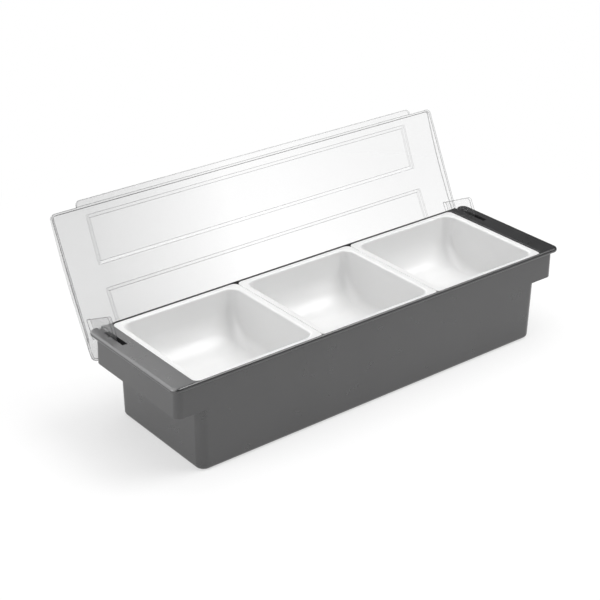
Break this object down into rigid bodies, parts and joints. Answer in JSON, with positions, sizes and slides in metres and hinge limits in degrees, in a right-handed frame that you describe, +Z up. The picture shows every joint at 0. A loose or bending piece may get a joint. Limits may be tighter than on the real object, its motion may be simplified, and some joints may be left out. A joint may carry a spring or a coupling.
{
  "type": "condiment caddy",
  "caption": "Countertop condiment caddy: dark tray with hanging white inserts over an ice space, under one clear hinged lid.",
  "frame": {"origin": "middle of the footprint, on the surface the caddy stands on, with the open lid behind counted in neither direction", "axes": "+X along the caddy to the right as seen from the front, +Y to the back, where the lid is hinged, +Z up"},
  "size_m": [0.47, 0.2012, 0.1922],
  "materials": {
    "tray_plastic": "fine satin moulded",
    "lid_clear": "clear, polished",
    "insert_plastic": "smooth semi-gloss",
    "pin_steel": "plain"
  },
  "bodies": {
    "tray": {"tray": "tray_plastic"},
    "lid": {"lid": "lid_clear"},
    "insert_left": {"insert_left": "insert_plastic"},
    "insert_centre": {"insert_centre": "insert_plastic"},
    "insert_right": {"insert_right": "insert_plastic"},
    "hinge_pin_left": {"hinge_pin_left": "pin_steel"},
    "hinge_pin_right": {"hinge_pin_right": "pin_steel"}
  },
  "joints": [
    {"name": "lid_hinge", "type": "hinge", "parent": "tray", "child": "lid", "pos_m": [0, 0.0573, 0.08], "axis": [-1, 0, 0], "range_deg": [-116.2, 0]},
    {"name": "insert_left_lift", "type": "slide", "parent": "tray", "child": "insert_left", "axis": [0, 0, 1], "range_m": [0, 0.06]},
    {"name": "insert_centre_lift", "type": "slide", "parent": "tray", "child": "insert_centre", "axis": [0, 0, 1], "range_m": [0, 0.06]},
    {"name": "insert_right_lift", "type": "slide", "parent": "tray", "child": "insert_right", "axis": [0, 0, 1], "range_m": [0, 0.06]},
    {"name": "hinge_pin_left_pull", "type": "slide", "parent": "tray", "child": "hinge_pin_left", "axis": [1, 0, 0], "range_m": [0, 0.0064]},
    {"name": "hinge_pin_right_pull", "type": "slide", "parent": "tray", "child": "hinge_pin_right", "axis": [-1, 0, 0], "range_m": [0, 0.0064]}
  ]
}
